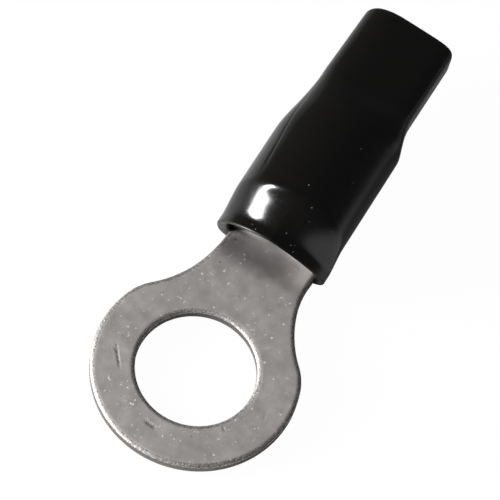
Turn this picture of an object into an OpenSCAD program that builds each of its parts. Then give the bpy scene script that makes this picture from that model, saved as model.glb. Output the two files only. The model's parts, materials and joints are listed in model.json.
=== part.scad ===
// Ring terminal with an insulating boot.
// ring_terminal is one sheet of tinned copper: a flat ring and tongue that folds up into a
// trough and closes into a tube, the wire barrel, with a brazed seam along its top.
// insulating_boot is a soft sleeve, pushed over the barrel. Its mouth sags over the tongue,
// its body grips the barrel, and its narrow, slightly squashed tail stands open for the cable.
// Millimetres. Origin: the stud hole's axis at the tongue's underside. +X runs towards the
// cable and +Z is the side on which the barrel stands.

/* [Ring and tongue] */
// Diameter of the stud hole
stud_hole_d = 10.5; // [8:0.25:13]
// Width of the band of metal round the stud hole
ring_band = 3.85; // [3:0.05:5]
// Thickness of the sheet that the terminal is stamped from
sheet_t = 1; // [0.7:0.05:1.3]
// Radius of the rolled upper edges that blanking leaves
edge_r = 0.3; // [0.1:0.05:0.4]
// Angle from +X at which the ring's edge leaves its circle
shoulder_angle = 70; // [60:1:80]
// Radius of the shoulder between the ring and the neck
shoulder_r = 5; // [3:0.25:6.5]
// Radius of the hollow side of the neck
neck_r = 10.3; // [7:0.1:14]
// Width of the neck at its narrowest
neck_w = 8.56; // [7:0.05:9]
// From the stud hole's axis to the start of the fold
tongue_len = 10.5; // [10:0.25:12]

/* [Wire barrel] */
// Bore that takes the bare conductor
barrel_bore_d = 6.8; // [6:0.1:8]
// Length of the closed tube
barrel_len = 9.6; // [6:0.1:14]
// Length of the trough that folds the flat tongue up into the tube
trough_len = 4.7; // [4.2:0.1:6]
// How quickly the trough's lips rise: 1 is even, more is later
fold_lag = 2.6; // [2.4:0.1:3]
// How far the tube's underside lies below the tongue's underside
barrel_drop = 1; // [0.5:0.1:1.5]
// Chamfer inside the cable end of the bore
bore_chamfer = 0.3; // [0.1:0.05:0.5]
// Radius of the groove that the brazed seam leaves along the top
seam_r = 0.25; // [0.15:0.05:0.4]

/* [Boot] */
// Wall of the sleeve
boot_wall = 0.88; // [0.7:0.02:1.3]
// Clearance between the barrel and the sleeve
boot_gap = 0.05; // [0.04:0.01:0.2]
// From the sleeve's mouth back to the front of the barrel
mouth_reach = 2.3; // [2:0.1:2.6]
// Clear height inside the mouth
mouth_h = 4.2; // [4:0.1:5]
// Room beside the neck inside the mouth
neck_room = 0.16; // [0.14:0.01:0.3]
// Height of the mouth's widest level above the tongue's top
mouth_waist = 0.5; // [0.3:0.05:0.9]
// Sideways slope of the mouth, in mm of rise for each mm
mouth_lean = 0.12; // [0:0.02:0.18]
// How far the mouth's -Y side is drawn back along the sleeve
mouth_draw = 0.4; // [0:0.05:0.5]
// How far the mouth spreads on its +Y side
mouth_flare = 0.25; // [0:0.05:0.3]
// Length of the sleeve beyond the barrel
tail_len = 11.4; // [9:0.1:20]
// Width of the tail where it leaves the barrel
tail_w = 8.84; // [8:0.02:10]
// Width of the tail at its cut end
tail_end_w = 8.8; // [8:0.02:10]
// How far the cut end lies towards -Y
tail_shift = 0.14; // [0:0.02:0.2]
// Height of the tail, which leaves the conductor a straight way in
tail_h = 8.4; // [8.4:0.1:9.2]
// How far the tail's middle lies below the barrel's axis
tail_sag = 0.1; // [0:0.05:0.5]
// Sideways slope of the tail's top, in mm of rise for each mm
tail_lean = 0.1; // [0:0.02:0.16]
// Rounding of the sleeve's outer rims
rim_r = 0.3; // [0.1:0.05:0.4]

/* [Hidden] */
$fn = 96;

// Plain values worked out from the sizes above
ring_r = stud_hole_d/2 + ring_band;
barrel_r = barrel_bore_d/2 + sheet_t;
barrel_z = barrel_r - barrel_drop;
barrel_start = tongue_len + trough_len;
barrel_end = barrel_start + barrel_len;
mouth_x = barrel_start - mouth_reach;
boot_end = barrel_end + tail_len;

// Centres of the arcs along the tongue's edge, on the +Y side
shoulder_c = (ring_r - shoulder_r)*[cos(shoulder_angle), sin(shoulder_angle)];
neck_c_y = neck_w/2 + neck_r;
neck_c = [shoulder_c.x + sqrt(pow(shoulder_r + neck_r, 2) - pow(neck_c_y - shoulder_c.y, 2)), neck_c_y];
// Direction from the shoulder's centre to the neck's, in which the two arcs meet
meet_angle = atan2(neck_c.y - shoulder_c.y, neck_c.x - shoulder_c.x);

// Counts of steps along each curve of the sheet
ring_steps = 64;
shoulder_steps = 7;
neck_steps = 9;
edge_steps = 3;
sheet_steps = 16;
trough_steps = 15;
// The last section of the folded sheet runs this far into the tube and lies this much inside it
lap = 0.3;
lap_inset = 0.02;
// Half of the fold at the last section: just short of closed, which leaves the seam's slit
fold_end = 178;

function ease(u) = let(c = min(max(u, 0), 1)) c*c*(3 - 2*c);
function blend(a, b, u) = a + (b - a)*u;
function arc(centre, r, from, to, steps) =
    [for (i = [0:steps]) centre + r*[cos(blend(from, to, i/steps)), sin(blend(from, to, i/steps))]];
function mirrored(points) = [for (i = [len(points) - 1:-1:0]) [points[i].x, -points[i].y]];
function without_first(points) = [for (i = [1:len(points) - 1]) points[i]];
function without_last(points) = [for (i = [0:len(points) - 2]) points[i]];

// ---- Sheet of the terminal ----

// The sheet's edge is built in levels: straight up, then round over the top
function edge_level_z(k) = k == 0 ? 0 : sheet_t - edge_r + edge_r*sin(90*(k - 1)/edge_steps);
function edge_level_inset(k) = k == 0 ? 0 : edge_r*(1 - cos(90*(k - 1)/edge_steps));
edge_levels = edge_steps + 2;

// Half width of the neck at x, with the edge drawn in by inset
function neck_half(x, inset) =
    x < neck_c.x ? neck_c.y - sqrt(pow(neck_r + inset, 2) - pow(neck_c.x - x, 2)) : neck_w/2 - inset;

// Edge of the flat tongue on the +Y side, from the end of the neck to the ring's tip
function tongue_side(inset) = concat(
    [[tongue_len, neck_half(tongue_len, inset)]],
    without_first(arc(neck_c, neck_r + inset, 180 + acos((neck_c.x - tongue_len)/(neck_r + inset)),
        180 + meet_angle, neck_steps)),
    without_first(arc(shoulder_c, shoulder_r - inset, meet_angle, shoulder_angle, shoulder_steps)),
    without_first(arc([0, 0], ring_r - inset, shoulder_angle, 180, ring_steps/2)));
function tongue_edge(inset) = concat(without_last(tongue_side(inset)), mirrored(tongue_side(inset)));

// Fold of the trough at x: half of the angle that the sheet is rolled through
function fold_share(x) = min(max((x - tongue_len)/trough_len, 0), 1);
function fold(x) = fold_end*pow(fold_share(x), fold_lag);
// The trough's underside sinks to the tube's within the first two thirds of the fold
function trough_sink(x) = barrel_drop*ease(fold_share(x)*1.5);
// Outer radius of the rolled sheet: its sides keep the neck's width until they stand upright
function fold_r(x) =
    let(f = fold(x), side = blend(neck_half(x, 0), barrel_r - lap_inset, min(f/90, 1)))
    side/sin(min(f, 90));

// A point of the sheet: along its width from the middle, and through its thickness from below
function sheet_point(x, along, up) =
    let(f = fold(x))
    f == 0 ? [x, along, up] :
    let(r = fold_r(x), a = along/r*180/PI, z = -trough_sink(x) + fold_share(x)*lap_inset)
    [x, (r - up)*sin(a), z + r - (r - up)*cos(a)];
function sheet_half(x, inset) =
    let(f = fold(x)) f == 0 ? neck_half(x, inset) : fold_r(x)*f*PI/180 - inset;
function sheet_section(x) = concat(
    [for (i = [0:sheet_steps]) sheet_point(x, sheet_half(x, 0)*(2*i/sheet_steps - 1), 0)],
    [for (k = [1:edge_levels - 1]) sheet_point(x, sheet_half(x, edge_level_inset(k)), edge_level_z(k))],
    [for (i = [sheet_steps - 1:-1:1]) sheet_point(x, sheet_half(x, edge_r)*(2*i/sheet_steps - 1), sheet_t)],
    [for (k = [edge_levels - 1:-1:1]) sheet_point(x, -sheet_half(x, edge_level_inset(k)), edge_level_z(k))]);

trough_stations = concat(
    [for (i = [0:trough_steps]) tongue_len + trough_len*i/trough_steps],
    [barrel_start + lap]);

// The whole sheet as one closed skin: the tongue in levels, then the trough in sections
module folded_sheet() {
    n = len(tongue_edge(0));
    m = len(sheet_section(tongue_len));
    base = n*edge_levels;
    last = len(trough_stations) - 1;
    tip = (n - 1)/2;
    middle = sheet_steps/2;
    // The flat faces are strips between the two sides, closed at the neck by a fan of triangles.
    // start is the level's first point, and row the section's points from -Y to +Y
    function flat_face(start, row) = concat(
        [for (i = [1:tip - 2]) each [
            [start + i, start + i + 1, start + n - 2 - i],
            [start + i, start + n - 2 - i, start + n - 1 - i]]],
        [[start + tip - 1, start + tip, start + tip + 1]],
        [for (i = [0:sheet_steps - 1]) [start + (i < middle ? n - 2 : 1), row[i], row[i + 1]]],
        [[start + n - 2, row[middle], start + 1]]);
    function turned(faces) = [for (f = faces) [f[0], f[2], f[1]]];
    points = concat(
        [for (k = [0:edge_levels - 1]) for (p = tongue_edge(edge_level_inset(k))) [p.x, p.y, edge_level_z(k)]],
        [for (x = trough_stations) each sheet_section(x)]);
    top_row = sheet_steps + edge_levels - 1;
    faces = concat(
        [for (k = [0:edge_levels - 2]) for (i = [0:n - 2])
            [k*n + i, (k + 1)*n + i, (k + 1)*n + i + 1, k*n + i + 1]],
        flat_face(0, concat([n - 1], [for (i = [1:sheet_steps - 1]) base + i], [0])),
        turned(flat_face((edge_levels - 1)*n, concat([edge_levels*n - 1],
            [for (i = [sheet_steps - 1:-1:1]) base + top_row + i], [(edge_levels - 1)*n]))),
        [for (s = [0:last - 1]) for (i = [0:m - 1])
            let(j = (i + 1)%m) each [
                [base + s*m + i, base + (s + 1)*m + j, base + s*m + j],
                [base + s*m + i, base + (s + 1)*m + i, base + (s + 1)*m + j]]],
        [[for (i = [m - 1:-1:0]) base + last*m + i]]);
    polyhedron(points, faces);
}

// Cutter for the stud hole, flared to match the rolled upper edge
module stud_hole() {
    hole_r = stud_hole_d/2;
    past = 1;
    rotate_extrude() polygon(concat(
        [[0, -past], [hole_r, -past]],
        [for (k = [1:edge_levels - 1]) [hole_r + edge_level_inset(k), edge_level_z(k)]],
        [[hole_r + edge_r, sheet_t + past], [0, sheet_t + past]]));
}

// A cylinder along +X, on the barrel's axis
module along_barrel(x, len, r1, r2) {
    translate([x, 0, barrel_z]) rotate([0, 90, 0]) cylinder(h = len, r1 = r1, r2 = r2);
}

module ring_terminal() {
    past = 1;
    color("#9c9794") difference() {
        union() {
            folded_sheet();
            along_barrel(barrel_start, barrel_len, barrel_r, barrel_r);
        }
        stud_hole();
        along_barrel(barrel_start - lap/2, barrel_len + past, barrel_r - sheet_t, barrel_r - sheet_t);
        along_barrel(barrel_end - bore_chamfer, 2*bore_chamfer,
            barrel_bore_d/2, barrel_bore_d/2 + 2*bore_chamfer);
        translate([barrel_start - past, 0, barrel_z + barrel_r + seam_r/2])
            rotate([0, 90, 0]) cylinder(h = barrel_len + 2*past, r = seam_r);
    }
}

// ---- Boot ----

// Each section is four quarter ovals with their own half width, height and squareness, where
// a squareness of 2 is an ellipse, more is nearer to a rectangle and 1 is a straight slope.
// A side's squareness is given above and below its widest level
wide_half = barrel_r + boot_gap + boot_wall;
mouth_half = max(barrel_r, neck_half(mouth_x, 0) + neck_room) + boot_gap + boot_wall;
// Levels of each section's underside, widest part and top, on the sleeve's outside
mouth_floor = -barrel_drop - boot_gap;
mouth_levels = [mouth_floor - boot_wall, sheet_t + mouth_waist, mouth_floor + mouth_h + boot_wall];
barrel_levels = [for (side = [-1:1]) barrel_z + side*wide_half];
tail_levels = [for (side = [-1:1]) barrel_z - tail_sag + side*tail_h/2];
mouth_square_left = [2.1, 3.4];
mouth_square_right = [1.3, 2.7];
tail_square_left = [3.2, 3];
tail_square_right = [8, 3];

// Stretches over which the sleeve changes: it rises steeply from the mouth to the barrel's
// front, and beyond the barrel it narrows, early and gently on the +Y side and late, with a
// shoulder, on the -Y side
crown_end = barrel_start - 0.7;
left_start = barrel_end - 2.8;
left_end = barrel_end + 3.9;
right_start = barrel_end + 0.8;
top_start = barrel_end - 0.2;
step_end = barrel_end + 4.4;
hollow_start = barrel_end + 0.1;

function crown(x) = ease((x - mouth_x)/(crown_end - mouth_x));
function narrow(x, from, to) = ease((x - from)/(to - from));
// A narrowing that starts with a shoulder and runs out slowly
function shoulder(x, from) = ease(pow(max(x - from, 0)/(step_end - from), 0.6));
// Half width of the tail, on the +Y side (1) or the -Y side (-1)
function tail_half(x, side) =
    blend(tail_w/2, tail_end_w/2 - side*tail_shift, max(x - step_end, 0)/(boot_end - step_end));

// One quarter oval's point, for the direction a
function quarter(a, half, height, square) =
    [sign(cos(a))*half*pow(abs(cos(a)), 2/square), sign(sin(a))*height*pow(abs(sin(a)), 2/square)];

boot_around = 48;
// Ring of points at x, drawn in by inset. The hollow inside keeps to the barrel up to its end
function boot_ring(x, inset, hollow) =
    let(top = narrow(x, hollow ? hollow_start : top_start, step_end),
        left = hollow ? top : narrow(x, left_start, left_end),
        right = hollow ? top : shoulder(x, right_start),
        levels = [for (k = [0:2])
            blend(blend(mouth_levels[k], barrel_levels[k], crown(x)), tail_levels[k], top)],
        up = levels[2] - levels[1] - inset,
        down = levels[1] - levels[0] - inset,
        z = levels[1],
        side = blend(mouth_half, wide_half, crown(x)),
        lean = blend(mouth_lean*(1 - crown(x)), tail_lean, top),
        draw = mouth_draw*(1 - crown(x)),
        flare = mouth_flare*pow(1 - crown(x), 2),
        round = [2, 2],
        square_left = blend(blend(mouth_square_left, round, crown(x)), tail_square_left, top),
        square_right = blend(blend(mouth_square_right, round, crown(x)), tail_square_right, top))
    [for (i = [0:boot_around - 1])
        let(a = 360*(i + 0.5)/boot_around,
            plus = cos(a) > 0,
            half = blend(side + (plus ? flare : 0), tail_half(x, plus ? 1 : -1), plus ? left : right)
                - inset,
            above = sin(a) > 0,
            p = quarter(a, half, above ? up : down, (plus ? square_left : square_right)[above ? 0 : 1]))
        [x + draw*pow(min(p.x/mouth_half, 0), 2), p.x, z + p.y + lean*p.x*min(1 + sin(a), 1)]];

// Stations along the outside and along the hollow, closer together where the form changes
function stations(from, to, steps) = [for (i = [0:steps]) blend(from, to, i/steps)];
outer_stations = concat(
    stations(mouth_x + rim_r, crown_end, 9),
    stations(left_start, right_start, 6),
    stations(right_start + 0.25, step_end, 9),
    [boot_end - rim_r]);
inner_rim_r = rim_r/2;
hollow_stations = concat(
    stations(mouth_x + inner_rim_r, crown_end, 9),
    stations(hollow_start, step_end, 7),
    [boot_end - inner_rim_r]);

// Rim rings from the outside round to the hollow, as [distance from the cut, inset]
rim_steps = 3;
rim = concat(
    [for (i = [1:rim_steps]) let(a = 90*i/rim_steps) [rim_r*(1 - sin(a)), rim_r*(1 - cos(a))]],
    [for (i = [0:rim_steps - 1]) let(a = 90*i/rim_steps)
        [inner_rim_r*(1 - cos(a)), boot_wall - inner_rim_r*(1 - sin(a))]]);

module insulating_boot() {
    rings = concat(
        [for (i = [len(outer_stations) - 1:-1:0]) boot_ring(outer_stations[i], 0, false)],
        [for (r = rim) boot_ring(mouth_x + r[0], r[1], false)],
        [for (x = hollow_stations) boot_ring(x, boot_wall, true)],
        [for (i = [len(rim) - 1:-1:0]) boot_ring(boot_end - rim[i][0], rim[i][1], true)]);
    n = boot_around;
    count = len(rings);
    color("#16161a") polyhedron(
        [for (r = rings) each r],
        [for (s = [0:count - 1]) for (i = [0:n - 1])
            let(t = (s + 1)%count, j = (i + 1)%n) each [
                [s*n + i, s*n + j, t*n + j],
                [s*n + i, t*n + j, t*n + i]]]);
}

ring_terminal();
insulating_boot();
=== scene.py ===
"""Ring terminal with its insulating boot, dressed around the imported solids.

Lengths are in millimetres until they reach a mesh. +X runs from the stud hole to the cable end,
and +Z is the side on which the wire barrel stands.
"""
import json
import math

import bmesh
import bpy
import numpy as np
from mathutils import Matrix, Vector
from mathutils.kdtree import KDTree


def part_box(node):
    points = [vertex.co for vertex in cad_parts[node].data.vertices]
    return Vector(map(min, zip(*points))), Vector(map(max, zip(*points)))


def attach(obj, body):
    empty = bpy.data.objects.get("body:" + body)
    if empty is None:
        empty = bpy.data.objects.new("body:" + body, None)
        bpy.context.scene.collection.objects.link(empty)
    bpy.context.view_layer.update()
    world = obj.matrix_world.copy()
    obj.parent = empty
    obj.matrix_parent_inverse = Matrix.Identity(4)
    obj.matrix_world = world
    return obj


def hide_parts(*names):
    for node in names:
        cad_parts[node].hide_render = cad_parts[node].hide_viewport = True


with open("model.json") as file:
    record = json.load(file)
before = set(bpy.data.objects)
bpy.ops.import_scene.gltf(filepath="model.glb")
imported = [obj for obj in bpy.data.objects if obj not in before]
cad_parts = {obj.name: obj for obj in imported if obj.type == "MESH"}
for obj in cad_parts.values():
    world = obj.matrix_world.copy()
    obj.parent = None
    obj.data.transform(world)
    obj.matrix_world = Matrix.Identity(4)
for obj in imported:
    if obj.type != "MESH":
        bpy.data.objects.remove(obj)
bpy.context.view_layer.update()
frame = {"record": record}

MM = 0.001
mounts = {m["name"]: m for m in frame["record"]["mounts"]}
metal_low, metal_high = [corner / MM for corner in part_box("ring_terminal")]
boot_low, boot_high = [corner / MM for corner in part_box("insulating_boot")]

# ---- Sizes of the metal sheet, mm ----
hole_r = mounts["stud_hole"]["dims"]["r_mm"]
sheet_t = mounts["tongue_top"]["pos_m"][2] / MM
ring_r = -metal_low.x
barrel_drop = -metal_low.z
barrel_r = mounts["wire_barrel"]["dims"]["r_mm"] + sheet_t
barrel_z = barrel_r - barrel_drop
barrel_end = metal_high.x
barrel_len = 9.6
trough_len = 4.7  # from the flat tongue back to the front of the barrel
barrel_start = barrel_end - barrel_len
tongue_len = barrel_start - trough_len
neck_w = 8.56
neck_r = 10.3  # the hollow curve between ring and tongue
shoulder_r = 5.0  # the tighter curve that leads into it, and where round the ring that starts
shoulder_angle = math.radians(70)
roll_w, roll_h = 0.5, 0.24  # blanking draws the upper edges down over this width and height
lower_edge = 0.08  # the lower edges are nearly sharp
bore_chamfer = 0.3
fold_start = tongue_len + 3.2  # where the trough's lips start to rise
fold_lag = 2.4  # how late they do most of it
sink_start = tongue_len - 0.8  # where the trough's floor starts to sink
sink_len = 4.8
bow_radius = 80.0  # that start is bowed, so the sides sink last
fold_end = math.radians(179.3)  # the lips all but meet along the brazed seam
least_turn = 0.002  # radians

# ---- Sizes of the boot, mm ----
mouth_reach = 2.8  # from the widest level of the mouth back to the front of the barrel
mouth_x = barrel_start - mouth_reach
boot_end = boot_high.x
boot_gap = 0.05  # between the metal and the boot
boot_wall = barrel_z - barrel_r - boot_gap - boot_low.z
rim_r = 0.3  # of the cut ends' outer edge; the inner edge has half of it
mouth_h = 6.7
mouth_waist = 0.7  # how far above the tongue the mouth is widest
mouth_rake = 0.27  # the top of the mouth runs forward, in mm for each mm of height
mouth_skew = -0.02  # and so does its +Y side, in mm for each mm across
mouth_undercut = 0.45  # how far the cut slopes back from its outer to its inner edge
neck_room = 0.06  # the mouth clears the neck by this much more than boot_gap at each side
tail_w = 8.84  # width where the tail starts
tail_bulge = 0.15  # its -Y half is this much wider there
tail_end_w = 8.8
tail_shift = 0.24  # the end is pushed this far towards -Y
tail_h = 8.4
tail_sag = 0.1
tail_lean = 0.1  # the tail's section leans, in mm of height for each mm across
tail_rise = 1.2  # how much higher the tail is widest on its -Y side


def ease(u):
    """A smooth step from 0 to 1."""
    c = np.clip(u, 0, 1)
    return c * c * (3 - 2 * c)


def blend(a, b, u):
    """From a, where u is 0, to b, where u is 1."""
    return a + (b - a) * u


def linear(hex_colour):
    """An sRGB hex colour as linear RGBA."""
    parts = [int(hex_colour[i : i + 2], 16) / 255 for i in (1, 3, 5)]
    return [c / 12.92 if c <= 0.04045 else ((c + 0.055) / 1.055) ** 2.4 for c in parts] + [1.0]


def per(size_mm):
    """Texture scale at which one pattern cell measures size_mm."""
    return 1 / (size_mm * MM)


def add(tree, kind, inputs=None, **settings):
    """Adds a node with its settings, input values and links. A node among the inputs stands for
    its first output."""
    made = tree.nodes.new(kind)
    for name, value in settings.items():
        setattr(made, name, value)
    for name, value in (inputs or {}).items():
        if isinstance(value, bpy.types.Node):
            value = value.outputs[0]
        if isinstance(value, bpy.types.NodeSocket):
            tree.links.new(value, made.inputs[name])
        else:
            made.inputs[name].default_value = value
    return made


def surface(name, grids, weld=1e-4):
    """One closed mesh object out of grids of points (rows, columns, xyz), welded where they meet."""
    points, faces, start = [], [], 0
    for grid, closed in grids:
        rows, columns = grid.shape[:2]
        points.append(grid.reshape(-1, 3))
        for i in range(rows - 1):
            for j in range(columns if closed else columns - 1):
                k = (j + 1) % columns
                faces.append([start + i * columns + j, start + i * columns + k,
                              start + (i + 1) * columns + k, start + (i + 1) * columns + j])
        start += rows * columns
    mesh = bpy.data.meshes.new(name)
    mesh.from_pydata((np.vstack(points) * MM).tolist(), [], faces)
    shape = bmesh.new()
    shape.from_mesh(mesh)
    bmesh.ops.remove_doubles(shape, verts=shape.verts, dist=weld * MM)
    bmesh.ops.dissolve_degenerate(shape, edges=shape.edges, dist=weld * MM)
    bmesh.ops.recalc_face_normals(shape, faces=shape.faces)
    shape.to_mesh(mesh)
    shape.free()
    made = bpy.data.objects.new(name, mesh)
    bpy.context.scene.collection.objects.link(made)
    mesh.polygons.foreach_set("use_smooth", [True] * len(mesh.polygons))
    return made


# ---- Ring terminal: a flat blank, which a fold then rolls into the trough and the barrel ----

shoulder_c = (ring_r - shoulder_r) * np.array([math.cos(shoulder_angle), math.sin(shoulder_angle)])
neck_cy = neck_w / 2 + neck_r
neck_c = np.array([shoulder_c[0] + math.sqrt((shoulder_r + neck_r) ** 2 - (neck_cy - shoulder_c[1]) ** 2),
                   neck_cy])
meet_angle = math.atan2(*(neck_c - shoulder_c)[::-1])


def neck_half(x, inset=0.0):
    """Half width of the neck at x, with the edge drawn in by inset."""
    if x >= neck_c[0]:
        return neck_w / 2 - inset
    return neck_c[1] - math.sqrt((neck_r + inset) ** 2 - (neck_c[0] - x) ** 2)


def arc(centre, radius, start, end, steps):
    """Points on an arc, from one angle to another."""
    a = np.linspace(start, end, steps + 1)
    return np.stack([centre[0] + radius * np.cos(a), centre[1] + radius * np.sin(a)], 1)


def outline(inset):
    """Edge of the tongue and ring, from the neck on +Y round the tip to the neck on -Y."""
    start = math.pi + math.acos((neck_c[0] - tongue_len) / (neck_r + inset))
    side = np.vstack([
        [[tongue_len, neck_half(tongue_len, inset)]],
        arc(neck_c, neck_r + inset, start, math.pi + meet_angle, 26)[1:],
        arc(shoulder_c, shoulder_r - inset, meet_angle, shoulder_angle, 20)[1:],
        arc((0, 0), ring_r - inset, shoulder_angle, math.pi, 110)[1:]])
    return np.vstack([side, side[-2::-1] * [1, -1]])


across = 48  # faces across the tongue
face_steps = 34  # faces from the stud hole's edge to the outline
trough_steps, barrel_steps = 69, 13
roll_margin, face_margin = 0.02, 0.012  # how near a level counts as the roll's foot or the face
wave_h = 0.004  # the sheet isn't dead flat
wave_fade = 1.5  # and its waviness fades out over this length before the fold
# Heights and insets of the edge, from the underside to the rolled top
quarter_turn = np.linspace(0, math.pi / 2, 9)
edge = [(lower_edge * (1 - math.sin(a)), lower_edge * (1 - math.cos(a))) for a in quarter_turn[::-2]]
edge += [(sheet_t - roll_h + roll_h * math.sin(a), roll_w * (1 - math.cos(a))) for a in quarter_turn]

# Marks in the tin: place, direction in degrees, half length, half width and depth
marks = [
    (-2.62, 6.28, 38, 1.05, 0.10, 0.035),
    (-2.30, 6.72, 52, 0.35, 0.07, 0.025),
    (-6.60, 0.72, 87, 0.50, 0.16, 0.045),
    (-3.58, -4.75, 42, 0.28, 0.09, 0.03),
    (-5.90, -6.60, 30, 0.32, 0.08, 0.03),
    (4.40, 6.00, 20, 0.20, 0.10, 0.015),
    (6.30, -2.40, 75, 0.30, 0.05, 0.012),
    (-0.90, -7.20, 15, 0.30, 0.06, 0.015),
]


def pressed(points, shapes):
    """Points with straight marks pressed down into them; a negative depth raises a soft ridge."""
    x, y = points[..., 0], points[..., 1]
    out = points.copy()
    for mark_x, mark_y, turn, length, width, depth in shapes:
        c, s = math.cos(math.radians(turn)), math.sin(math.radians(turn))
        u = (c * (x - mark_x) + s * (y - mark_y)) / length
        v = (c * (y - mark_y) - s * (x - mark_x)) / width
        # A smooth furrow with a faint bank along each side
        out[..., 2] -= depth * np.exp(-u ** 4) * (1.4 * np.exp(-v * v) - 0.4 * np.exp(-v * v / 5))
    return out


def worn(points):
    """Points of the upper face with its marks and the sheet's slight, long waves."""
    out = pressed(points, marks)
    x, y = points[..., 0], points[..., 1]
    out[..., 2] += wave_h * np.sin(0.9 * x + 0.4 * y) * np.cos(0.7 * y - 0.3 * x)
    return out


def flat_blank():
    """The stamped blank, with attributes that say which faces the die sheared and drew down."""
    share = np.linspace(-1, 1, across + 1)[1:-1]

    def outer(inset, z):
        """The loop round the blank at one level of the edge: outline, then the tongue's end."""
        loop = outline(inset)
        end = np.stack([np.full(len(share), tongue_len), share * neck_half(tongue_len, inset)], 1)
        loop = np.vstack([loop, end])
        return np.column_stack([loop, np.full(len(loop), z)])

    foot = outer(0, 0)
    angle = np.arctan2(foot[:, 1], foot[:, 0])

    def inner(inset, z):
        """The loop round the stud hole at one level of its edge."""
        r = hole_r + inset
        return np.stack([r * np.cos(angle), r * np.sin(angle), np.full(len(angle), z)], 1)

    wall = [outer(inset, z) for z, inset in edge]
    bore = [inner(inset, z) for z, inset in edge]
    steps = np.linspace(0, 1, face_steps + 1)[:, None, None]
    under = blend(wall[0][None], bore[0][None], steps)
    over = worn(blend(bore[-1][None], wall[-1][None], steps))
    n_outline = len(outline(0))
    rim = np.array(wall)[:, :n_outline]
    rim[-1] = over[-1, :n_outline]
    bore[-1] = over[0]
    grids = [(under, True), (np.array(bore), True), (over, True), (rim, False)]

    # The strip that the fold turns into trough and barrel, closed at the cable end
    stations = np.concatenate([
        np.linspace(tongue_len, barrel_start, trough_steps + 1),
        np.linspace(barrel_start, barrel_end - bore_chamfer, barrel_steps + 1)[1:],
        [barrel_end]])
    all_share = np.linspace(-1, 1, across + 1)

    def row(inset, z):
        return np.array([[[x, s * neck_half(x, inset), z] for s in all_share] for x in stations])

    under_strip = row(edge[0][1], edge[0][0])
    over_strip = row(edge[-1][1], edge[-1][0])
    over_strip[-1, :, 2] -= bore_chamfer
    over_strip = blend(worn(over_strip), over_strip, ease((over_strip[..., :1] - tongue_len) / wave_fade))
    lips = []
    for side in (-1, 1):
        lip = np.array([[[x, side * neck_half(x, inset), z] for z, inset in edge] for x in stations])
        lip[-1, :, 2] = np.minimum(lip[-1, :, 2], sheet_t - bore_chamfer)
        lip[:, -1] = over_strip[:, 0 if side < 0 else -1]
        lips.append(lip)
    cap = np.stack([under_strip[-1], over_strip[-1]])
    # Each lip's end is closed by joining its lower levels to its upper ones, which are as many
    middle = len(edge) // 2
    lip_caps = [np.array([lip[-1][:middle], lip[-1][::-1][:middle]]) for lip in lips]
    grids += [(grid, False) for grid in [under_strip, over_strip, cap] + lips + lip_caps]
    blank = surface("terminal_blank", grids)
    heights = np.array([vertex.co.z for vertex in blank.data.vertices]) / MM
    sheared = (heights > lower_edge / 2) & (heights < sheet_t - roll_h + roll_margin)
    rolled = (heights > sheet_t - roll_h - roll_margin) & (heights < sheet_t - face_margin)
    for name, place in (("sheared_edge", sheared), ("rolled_edge", rolled)):
        blank.data.attributes.new(name, "FLOAT", "POINT").data.foreach_set("value", place.astype(float))
    return blank


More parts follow.
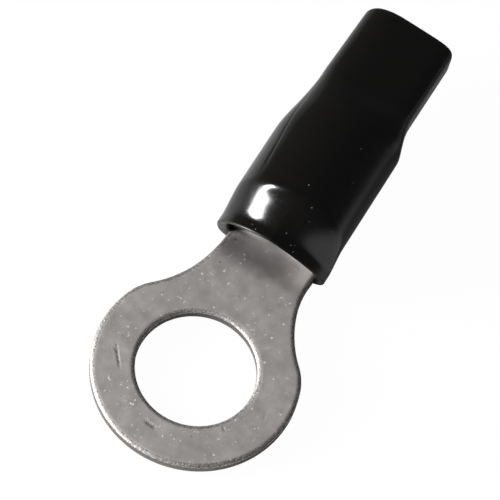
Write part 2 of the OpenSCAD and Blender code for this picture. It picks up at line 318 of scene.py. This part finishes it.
def fold_tree():
    """Rolls a flat strip up into a trough and then a tube: a half turn that grows along X."""
    tree = bpy.data.node_groups.new("fold_sheet", "GeometryNodeTree")
    face = tree.interface
    face.new_socket("Geometry", in_out="INPUT", socket_type="NodeSocketGeometry")
    for name in ("Fold start", "Fold length", "Fold lag", "Half turn", "Neck half width",
                 "Tube radius", "Drop", "Sink start", "Sink length", "Bow radius"):
        face.new_socket(name, in_out="INPUT", socket_type="NodeSocketFloat")
    face.new_socket("Material", in_out="INPUT", socket_type="NodeSocketMaterial")
    face.new_socket("Geometry", in_out="OUTPUT", socket_type="NodeSocketGeometry")
    given = add(tree, "NodeGroupInput").outputs
    half_neck = given["Neck half width"]
    place = add(tree, "GeometryNodeInputPosition")
    x, y, z = add(tree, "ShaderNodeSeparateXYZ", {0: place}).outputs

    # How far the half turn has come at this X. A hint of it on the flat part keeps one rule
    past = add(tree, "ShaderNodeMath", {0: x, 1: given["Fold start"]}, operation="SUBTRACT")
    share = add(tree, "ShaderNodeMath", {0: past, 1: given["Fold length"]}, operation="DIVIDE")
    share = add(tree, "ShaderNodeClamp", {0: share})
    late = add(tree, "ShaderNodeMath", {0: share, 1: given["Fold lag"]}, operation="POWER")
    turned = add(tree, "ShaderNodeMath", {0: given["Half turn"], 1: late}, operation="MULTIPLY")
    turned = add(tree, "ShaderNodeMath", {0: turned, 1: least_turn}, operation="MAXIMUM")

    # The radius of the section, whose side goes from the neck's to the tube's as it stands up
    upright = add(tree, "ShaderNodeMath", {0: turned, 1: math.pi / 2}, operation="MINIMUM")
    grown = add(tree, "ShaderNodeMath", {0: upright, 1: math.pi / 2}, operation="DIVIDE")
    spread = add(tree, "ShaderNodeMath", {0: given["Tube radius"], 1: half_neck}, operation="SUBTRACT")
    side = add(tree, "ShaderNodeMath", {0: spread, 1: grown, 2: half_neck}, operation="MULTIPLY_ADD")
    sine = add(tree, "ShaderNodeMath", {0: upright}, operation="SINE")
    radius = add(tree, "ShaderNodeMath", {0: side, 1: sine}, operation="DIVIDE")
    reach = add(tree, "ShaderNodeMath", {0: radius, 1: z}, operation="SUBTRACT")
    outward = add(tree, "ShaderNodeMath", {0: y, 1: half_neck}, operation="DIVIDE")
    angle = add(tree, "ShaderNodeMath", {0: turned, 1: outward}, operation="MULTIPLY")

    # The sheet starts to sink along a bowed line: first in the middle, last at the sides
    y_squared = add(tree, "ShaderNodeMath", {0: y, 1: y}, operation="MULTIPLY")
    twice_bow = add(tree, "ShaderNodeMath", {0: given["Bow radius"], 1: 2.0}, operation="MULTIPLY")
    bow = add(tree, "ShaderNodeMath", {0: y_squared, 1: twice_bow}, operation="DIVIDE")
    deep = add(tree, "ShaderNodeMath", {0: x, 1: given["Sink start"]}, operation="SUBTRACT")
    deep = add(tree, "ShaderNodeMath", {0: deep, 1: bow}, operation="SUBTRACT")
    deep = add(tree, "ShaderNodeMath", {0: deep, 1: given["Sink length"]}, operation="DIVIDE")
    sunk = add(tree, "ShaderNodeMapRange", {0: deep}, interpolation_type="SMOOTHERSTEP")
    fall = add(tree, "ShaderNodeMath", {0: given["Drop"], 1: sunk}, operation="MULTIPLY")

    # The lift is radius - reach cos(angle) - z, written so that a huge radius loses nothing
    sine = add(tree, "ShaderNodeMath", {0: angle}, operation="SINE")
    new_y = add(tree, "ShaderNodeMath", {0: reach, 1: sine}, operation="MULTIPLY")
    half_angle = add(tree, "ShaderNodeMath", {0: angle, 1: 0.5}, operation="MULTIPLY")
    half_sine = add(tree, "ShaderNodeMath", {0: half_angle}, operation="SINE")
    squared = add(tree, "ShaderNodeMath", {0: half_sine, 1: 2.0}, operation="POWER")
    twice_reach = add(tree, "ShaderNodeMath", {0: reach, 1: 2.0}, operation="MULTIPLY")
    lift = add(tree, "ShaderNodeMath", {0: twice_reach, 1: squared}, operation="MULTIPLY")
    new_z = add(tree, "ShaderNodeMath", {0: lift, 1: z}, operation="ADD")
    new_z = add(tree, "ShaderNodeMath", {0: new_z, 1: fall}, operation="SUBTRACT")
    folded = add(tree, "ShaderNodeCombineXYZ", {0: x, 1: new_y, 2: new_z})
    moved = add(tree, "GeometryNodeSetPosition", {"Geometry": given["Geometry"], "Position": folded})
    real = add(tree, "GeometryNodeRealizeInstances", {0: moved})
    dressed = add(tree, "GeometryNodeSetMaterial", {"Geometry": real, "Material": given["Material"]})
    add(tree, "NodeGroupOutput", {0: dressed})
    return tree


def baked(piece, tree, values, name):
    """The mesh that a Geometry Nodes tree makes of a piece, as a plain object."""
    modifier = piece.modifiers.new("shape", "NODES")
    modifier.node_group = tree
    for item in tree.interface.items_tree:
        if item.in_out == "INPUT" and item.name in values:
            modifier[item.identifier] = values[item.name]
    evaluated = piece.evaluated_get(bpy.context.evaluated_depsgraph_get())
    mesh = bpy.data.meshes.new_from_object(evaluated)
    mesh.name = name
    piece.modifiers.remove(modifier)
    bpy.data.objects.remove(piece)
    made = bpy.data.objects.new(name, mesh)
    bpy.context.scene.collection.objects.link(made)
    return made


# ---- Boot: a sleeve whose sections change along X ----

# Each quarter of a section is an oval with its own squareness: 2 is an ellipse, more is nearer
# to a rectangle and 1 is a straight slope. The pairs are above and below the widest level
round_pair = np.array([2.0, 2.0])
mouth_left, mouth_right = np.array([1.95, 3.2]), np.array([1.3, 3.0])
tail_left, tail_right = np.array([2.7, 3.0]), np.array([6.5, 2.3])
wide_half = barrel_r + boot_gap + boot_wall
mouth_half = max(barrel_r, neck_half(mouth_x) + neck_room) + boot_gap + boot_wall
mouth_floor = -barrel_drop - boot_gap
mouth_levels = np.array([mouth_floor - boot_wall, sheet_t + mouth_waist, mouth_floor + mouth_h + boot_wall])
barrel_levels = barrel_z + wide_half * np.array([-1, 0, 1])
tail_levels = barrel_z - tail_sag + tail_h / 2 * np.array([-1, 0, 1])
crown_start, crown_end = mouth_x + 1.0, barrel_start + 0.4
hollow_crown_end = barrel_start - 0.2
hollow_straight = 2.0  # from the hollow's last section to the inner rim of the tail
same_place = 1e-3  # points nearer than this are one
left_start, left_end = barrel_end - 2.8, barrel_end + 3.9
right_start, top_start = barrel_end + 0.8, barrel_end - 0.2
right_hurry = 0.6  # the -Y side does most of its narrowing early
hollow_start, step_end = barrel_end + 0.1, barrel_end + 4.4
quarter_points = 80
fine_points = 241  # a quarter is drawn with these, then spaced evenly

# A crease along the +Y side, between two places and two angles above the widest level
crease_start, crease_end = barrel_start + 0.8, barrel_end + 1.6
crease_high, crease_low = 45.5, 31.0
crease_width, crease_depth = 1.8, 0.035
crease_fade = 6  # it dies out over the first and the last sixth of its length

# The barrel's front edge shows through the sleeve as a soft ridge on its +Y shoulder
ridges = [(barrel_start - 0.05, 1.5, -84, 1.5, 0.5, -0.13)]


def boot_section(x, inset, hollow):
    """Points round the sleeve at x, evenly spaced on each quarter."""
    crown = float(ease((x - crown_start) / ((hollow_crown_end if hollow else crown_end) - crown_start)))
    opening = 1 - crown

    def narrow(start, end):
        return float(ease((x - start) / (end - start)))

    top = narrow(hollow_start if hollow else top_start, step_end)
    left = top if hollow else narrow(left_start, left_end)
    early = (max(x - right_start, 0) / (step_end - right_start)) ** right_hurry
    right = top if hollow else float(ease(early))
    low, middle, high = blend(blend(mouth_levels, barrel_levels, crown), tail_levels, top)
    side = blend(mouth_half, wide_half, crown)
    lean = tail_lean * top
    tail_share = max(x - step_end, 0) / (boot_end - step_end)
    loop = []
    for number in range(4):
        plus, above = number in (0, 3), number < 2
        start_half = tail_w / 2 + (0 if plus else tail_bulge)
        end_half = tail_end_w / 2 + (-tail_shift if plus else tail_shift)
        half_tail = blend(start_half, end_half, tail_share)
        z = middle + (0 if plus else tail_rise * top)
        half = blend(side, half_tail, left if plus else right) - inset
        height = (high - z if above else z - low) - inset
        mouth_pair, tail_pair = (mouth_left, tail_left) if plus else (mouth_right, tail_right)
        square = blend(blend(mouth_pair, round_pair, crown), tail_pair, top)[0 if above else 1]
        a = np.radians(90 * number + np.linspace(0, 90, fine_points))
        c, s = np.cos(a), np.sin(a)
        px = np.sign(c) * half * np.abs(c) ** (2 / square)
        pz = np.sign(s) * height * np.abs(s) ** (2 / square)
        length = np.concatenate([[0], np.cumsum(np.hypot(np.diff(px), np.diff(pz)))])
        even = np.linspace(0, length[-1], quarter_points + 1)[:-1]
        px, s = np.interp(even, length, px), np.interp(even, length, s)
        pz = np.interp(even, length, pz)
        cut = opening * (mouth_skew * px - mouth_rake * pz)
        loop.append(np.stack([x + cut, px, z + pz + lean * px * np.minimum(1 + s, 1)], 1))
    return np.vstack(loop)


def creased(loop, x):
    """A loop with the crease along the sleeve's +Y side pressed in."""
    along = (x - crease_start) / (crease_end - crease_start)
    place = blend(crease_high, crease_low, along)
    depth = crease_depth * ease(along * crease_fade) * ease((1 - along) * crease_fade)
    turned = np.degrees(np.arctan2(loop[:, 2] - barrel_z, loop[:, 1]))
    press = depth * np.exp(-((turned - place) / crease_width) ** 2)
    towards = loop[:, 1:] - [0, barrel_z]
    out = loop.copy()
    out[:, 1:] -= press[:, None] * towards / np.linalg.norm(towards, axis=1)[:, None]
    return out


def boot_mesh():
    """The sleeve: its outside and its hollow, joined by a rounded rim at each cut end."""
    inner_rim = rim_r / 2
    turn = np.linspace(0, math.pi / 2, 7)
    # The rim's rounding, from the outside to the hollow, as distance from the cut and inset
    rim = [(rim_r * (1 - math.sin(a)), rim_r * (1 - math.cos(a))) for a in turn]
    rim += [(inner_rim * (1 - math.cos(a)), boot_wall - inner_rim * (1 - math.sin(a))) for a in turn]
    # Stretches of the outside, each with the number of its sections: close where it curves
    crown_past = crown_end + 0.4
    stretches = [(mouth_x + rim_r, crown_past, 44), (crown_past, left_start, 24),
                 (left_start, step_end, 60), (step_end, boot_end - rim_r, 26)]
    outside = np.concatenate([np.linspace(*stretch)[1:] for stretch in stretches])[:-1]
    inside = np.concatenate([
        np.linspace(mouth_x + inner_rim + mouth_undercut, hollow_crown_end, 20)[1:],
        np.linspace(hollow_start, step_end, 24),
        [boot_end - inner_rim - hollow_straight]])
    loops = [creased(pressed(boot_section(x, 0, False), ridges), x) for x in outside[::-1]]
    loops += [boot_section(mouth_x + far + mouth_undercut * inset / boot_wall, inset, False)
              for far, inset in rim]
    loops += [boot_section(x, boot_wall, True) for x in inside]
    loops += [boot_section(boot_end - far, inset, True) for far, inset in rim[::-1]]
    loops.append(loops[0])
    shape = surface("boot", [(np.array(loops), True)])
    # The cut ends are duller than the moulded skin
    cuts = np.array(loops[len(outside):len(outside) + len(rim)] + loops[-len(rim) - 1:-1]).reshape(-1, 3)
    near = KDTree(len(cuts))
    for number, point in enumerate(cuts):
        near.insert(point * MM, number)
    near.balance()
    dull = [near.find(vertex.co)[2] < same_place * MM for vertex in shape.data.vertices]
    shape.data.attributes.new("cut_end", "FLOAT", "POINT").data.foreach_set("value", np.array(dull, float))
    return shape


# Dust on the sleeve's front: place along X and angle round the sleeve, in degrees
motes = [(15.2, 109), (14.7, 115), (13.3, 112), (13.5, 117), (12.9, 119), (13.1, 124), (15.1, 142),
         (13.2, 66), (12.9, 72), (16.6, 96), (19.5, 131), (22.4, 118), (13.8, 101)]


def dust_tree():
    """Sets one grain on each point."""
    tree = bpy.data.node_groups.new("dust", "GeometryNodeTree")
    face = tree.interface
    face.new_socket("Geometry", in_out="INPUT", socket_type="NodeSocketGeometry")
    face.new_socket("Grain radius", in_out="INPUT", socket_type="NodeSocketFloat")
    face.new_socket("Material", in_out="INPUT", socket_type="NodeSocketMaterial")
    face.new_socket("Geometry", in_out="OUTPUT", socket_type="NodeSocketGeometry")
    given = add(tree, "NodeGroupInput").outputs
    grain = add(tree, "GeometryNodeMeshIcoSphere", {"Radius": given["Grain radius"], "Subdivisions": 1})
    size = add(tree, "FunctionNodeRandomValue", {2: 0.6, 3: 1.3, "Seed": 4}, data_type="FLOAT")
    turn = add(tree, "FunctionNodeRandomValue", {0: (0, 0, 0), 1: (6, 6, 6), "Seed": 9},
               data_type="FLOAT_VECTOR")
    set_out = add(tree, "GeometryNodeInstanceOnPoints", {
        "Points": given["Geometry"], "Instance": grain, "Rotation": turn, "Scale": size.outputs[1]})
    real = add(tree, "GeometryNodeRealizeInstances", {0: set_out})
    dressed = add(tree, "GeometryNodeSetMaterial", {"Geometry": real, "Material": given["Material"]})
    add(tree, "NodeGroupOutput", {0: dressed})
    return tree


def dust_points():
    """A point on the sleeve for each mote."""
    points = [boot_section(x, 0, False)[round(angle / 90 * quarter_points)] for x, angle in motes]
    mesh = bpy.data.meshes.new("dust_points")
    mesh.from_pydata((np.array(points) * MM).tolist(), [], [])
    made = bpy.data.objects.new("dust_points", mesh)
    bpy.context.scene.collection.objects.link(made)
    return made


# ---- Materials ----

def new_material(name):
    """A material with one shader, and what its patterns and settings join on to."""
    material = bpy.data.materials.new(name)
    material.use_nodes = True
    tree = material.node_tree
    tree.nodes.clear()
    place = add(tree, "ShaderNodeTexCoord").outputs["Object"]
    shader = add(tree, "ShaderNodeBsdfPrincipled")
    add(tree, "ShaderNodeOutputMaterial", {"Surface": shader})
    return material, tree, place, shader.inputs


def tin_plate():
    """Tin plated on stamped copper: satin grey and faintly mottled, with specks where handling has burnished
    it, glittering where the edge was drawn down, and darker where the die sheared it: partly the cut's own
    dull tone, partly painted shade on those walls."""
    material, tree, place, skin = new_material("tin_plate_satin")
    sheared = add(tree, "ShaderNodeAttribute", attribute_name="sheared_edge").outputs["Fac"]
    rolled = add(tree, "ShaderNodeAttribute", attribute_name="rolled_edge").outputs["Fac"]
    # Each pattern's cell in mm and its detail; the glitter is as coarse as it needs to show
    cells = {"mottle": (2.4, 4.0), "speck": (0.3, 1.0), "pit": (0.5, 1.0), "glitter": (0.16, 2.0),
             "grain": (0.22, 3.0), "sheen": (1.1, 3.0)}
    noise = {name: add(tree, "ShaderNodeTexNoise", {"Vector": place, "Scale": per(cell), "Detail": detail})
             for name, (cell, detail) in cells.items()}

    mottle = add(tree, "ShaderNodeMapRange", {0: noise["mottle"], 1: 0.32, 2: 0.7})
    specks = add(tree, "ShaderNodeMapRange", {0: noise["speck"], 1: 0.69, 2: 0.78, 4: 0.7})
    pits = add(tree, "ShaderNodeMapRange", {0: noise["pit"], 1: 0.25, 2: 0.19})
    glitter = add(tree, "ShaderNodeMapRange", {0: noise["glitter"], 1: 0.4, 2: 0.62, 3: 0.85, 4: 0.15})
    glitter = add(tree, "ShaderNodeMath", {0: glitter, 1: rolled}, operation="MULTIPLY")
    # The sheared walls are darker partly for the cut's own dull tone and partly as painted shade, for the
    # shade they lie in near the table
    sheared_dark_and_shade = add(tree, "ShaderNodeMapRange", {0: sheared, 4: 0.85})
    tone = linear("#d0ccca")
    # The mottling, the burnished specks, small pits that hold dirt, the drawn edge, and the sheared face,
    # darkened partly for the cut and partly as painted shade
    for share, colour in ((mottle, "#dedad8"), (specks, "#ffffff"), (pits, "#8c8784"),
                          (glitter, "#8a8582"), (sheared_dark_and_shade, "#625d5a")):
        tone = add(tree, "ShaderNodeMix", {0: share, 6: tone, 7: linear(colour)}, data_type="RGBA").outputs[2]

    satin = add(tree, "ShaderNodeMapRange", {0: noise["sheen"], 1: 0.3, 2: 0.7, 3: 0.55, 4: 0.62})
    rough = add(tree, "ShaderNodeMath", {0: specks, 1: 0.25, 2: satin}, operation="MULTIPLY_ADD")
    # Fine scratches run along the tongue, as coarse as they need to show
    drawn = add(tree, "ShaderNodeMapping", {"Vector": place, "Rotation": (0, 0, 0.5),
                                            "Scale": (per(5.0), per(0.14), per(0.14))})
    lines = add(tree, "ShaderNodeTexNoise", {"Vector": drawn, "Scale": 1.0, "Detail": 2.0})
    relief = add(tree, "ShaderNodeMath", {0: lines, 1: 0.5, 2: noise["grain"]}, operation="MULTIPLY_ADD")
    depth = add(tree, "ShaderNodeMapRange", {0: rolled, 3: 0.12, 4: 0.8})
    bump = add(tree, "ShaderNodeBump", {"Height": relief, "Strength": depth, "Distance": 0.02 * MM})
    tree.links.new(tone, skin["Base Color"])
    tree.links.new(rough.outputs[0], skin["Roughness"])
    tree.links.new(bump.outputs[0], skin["Normal"])
    skin["Metallic"].default_value = 1.0
    return material


def black_pvc():
    """Soft PVC, dip moulded: deep black and glossy, with a faint orange peel, duller where cut."""
    material, tree, place, skin = new_material("black_pvc_gloss")
    peel = add(tree, "ShaderNodeTexNoise", {"Vector": place, "Scale": per(1.8), "Detail": 2.0})
    fine = add(tree, "ShaderNodeTexNoise", {"Vector": place, "Scale": per(0.2), "Detail": 3.0})
    shine = add(tree, "ShaderNodeMapRange", {0: fine, 1: 0.3, 2: 0.7, 3: 0.16, 4: 0.23})
    cut = add(tree, "ShaderNodeAttribute", attribute_name="cut_end").outputs["Fac"]
    shine = add(tree, "ShaderNodeMath", {0: cut, 1: 0.2, 2: shine}, operation="MULTIPLY_ADD")
    relief = add(tree, "ShaderNodeMath", {0: fine, 1: 0.08, 2: peel}, operation="MULTIPLY_ADD")
    bump = add(tree, "ShaderNodeBump", {"Height": relief, "Strength": 0.3, "Distance": 0.05 * MM})
    tree.links.new(shine.outputs[0], skin["Roughness"])
    tree.links.new(bump.outputs[0], skin["Normal"])
    skin["Base Color"].default_value = linear("#090807")
    skin["IOR"].default_value = 1.53
    return material


def pale_dust():
    """Lint and dust: matt, pale grey and a little uneven."""
    material, tree, place, skin = new_material("pale_dust")
    fleck = add(tree, "ShaderNodeTexNoise", {"Vector": place, "Scale": per(0.1), "Detail": 1.0})
    tone = add(tree, "ShaderNodeMix", {0: fleck, 6: linear("#6a6862"), 7: linear("#a8a69e")},
               data_type="RGBA")
    tree.links.new(tone.outputs[2], skin["Base Color"])
    skin["Roughness"].default_value = 0.9
    return material


def white_table():
    """A white table: even white to the eye with a faint shadow, lit and shaded to gloss."""
    material = bpy.data.materials.new("white_table")
    material.use_nodes = True
    tree = material.node_tree
    tree.nodes.clear()
    ray = add(tree, "ShaderNodeLightPath").outputs
    # The share of its own light that the eye sees, and the small one that gloss and glass see
    mirrored = add(tree, "ShaderNodeMath", {0: ray["Is Glossy Ray"], 1: ray["Is Transmission Ray"]},
                   operation="MAXIMUM")
    mirrored = add(tree, "ShaderNodeMath", {0: mirrored, 1: 0.08}, operation="MULTIPLY")
    share = add(tree, "ShaderNodeMath", {0: ray["Is Camera Ray"], 1: 0.98, 2: mirrored},
                operation="MULTIPLY_ADD")
    # What gloss sees also dims with distance, as the light on a real table does
    place = add(tree, "ShaderNodeTexCoord").outputs["Object"]
    far = add(tree, "ShaderNodeVectorMath", {0: place}, operation="LENGTH").outputs["Value"]
    dim = add(tree, "ShaderNodeMapRange", {0: far, 1: 8 * MM, 2: 70 * MM, 4: 0.75})
    dim = add(tree, "ShaderNodeMath", {0: dim, 1: ray["Is Glossy Ray"]}, operation="MULTIPLY")
    strength = add(tree, "ShaderNodeMath", {0: 1.0, 1: dim}, operation="SUBTRACT")
    paint = add(tree, "ShaderNodeBsdfDiffuse", {"Color": strength})
    glow = add(tree, "ShaderNodeEmission", {"Strength": strength})
    mixed = add(tree, "ShaderNodeMixShader", {0: share, 1: paint, 2: glow})
    add(tree, "ShaderNodeOutputMaterial", {"Surface": mixed})
    return material


tin, pvc = tin_plate(), black_pvc()

terminal = baked(flat_blank(), fold_tree(), {
    "Fold start": fold_start * MM,
    "Fold length": (barrel_start - fold_start) * MM,
    "Fold lag": fold_lag,
    "Half turn": fold_end,
    "Neck half width": neck_w / 2 * MM,
    "Tube radius": barrel_r * MM,
    "Drop": barrel_drop * MM,
    "Sink start": sink_start * MM,
    "Sink length": sink_len * MM,
    "Bow radius": bow_radius * MM,
    "Material": tin,
}, "tin_terminal")
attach(terminal, "root")
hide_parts("ring_terminal")

boot = boot_mesh()
boot.name = "pvc_boot"
boot.data.materials.append(pvc)
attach(boot, "root")
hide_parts("insulating_boot")

grain_r = 0.045
dust = baked(dust_points(), dust_tree(), {
    "Grain radius": grain_r * MM,
    "Material": pale_dust(),
}, "dust_grains")
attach(dust, "root")

# ---- Table, light and camera ----

# The part lies on the boot's belly and the ring's tip, so the table leans under it
belly_x = mouth_x + 1
lean_angle = math.atan2(-boot_low.z, ring_r + belly_x)
table_half = 1500
table_clear = 0.02
corners = [Vector(c) * table_half * MM for c in ((-1, -1, 0), (1, -1, 0), (1, 1, 0), (-1, 1, 0))]
table_mesh = bpy.data.meshes.new("table")
table_mesh.from_pydata(corners, [], [(0, 1, 2, 3)])
table = bpy.data.objects.new("table", table_mesh)
bpy.context.scene.collection.objects.link(table)
table.matrix_world = (Matrix.Translation(Vector((-ring_r, 0, -table_clear)) * MM)
                      @ Matrix.Rotation(lean_angle, 4, "Y"))
table_mesh.materials.append(white_table())

# One soft box lights the part from its +Y side and a little from the ring's end, low down
lamp_target = Vector((10, 0, 2))
lamp_way = Vector((-0.46, 0.80, 0.38)).normalized()
lamp_distance = 500
soft_box = bpy.data.lights.new("key", "AREA")
soft_box.shape = "RECTANGLE"
soft_box.size, soft_box.size_y = 180 * MM, 210 * MM
soft_box.energy = 6.4
key = bpy.data.objects.new("key", soft_box)
key.matrix_world = (Matrix.Translation((lamp_target + lamp_way * lamp_distance) * MM)
                    @ lamp_way.to_track_quat("Z", "Y").to_matrix().to_4x4())
bpy.context.scene.collection.objects.link(key)

world = bpy.data.worlds.new("studio")
world.use_nodes = True
world.node_tree.nodes["Background"].inputs["Color"].default_value = linear("#545454")
bpy.context.scene.world = world

camera = bpy.data.cameras.new("camera")
camera.sensor_width = 36
camera.lens = 252.8
camera.clip_start, camera.clip_end = 0.01, 10
viewer = bpy.data.objects.new("camera", camera)
right = Vector((0.49517, -0.86066, 0.11858))
up = Vector((0.75759, 0.49456, 0.42600))
turned = Matrix((right, up, right.cross(up))).transposed().to_4x4()
viewer.matrix_world = Matrix.Translation(Vector((-117.325, -35.169, 274.099)) * MM) @ turned
bpy.context.scene.collection.objects.link(viewer)
bpy.context.scene.camera = viewer
bpy.context.scene.view_settings.view_transform = "Standard"
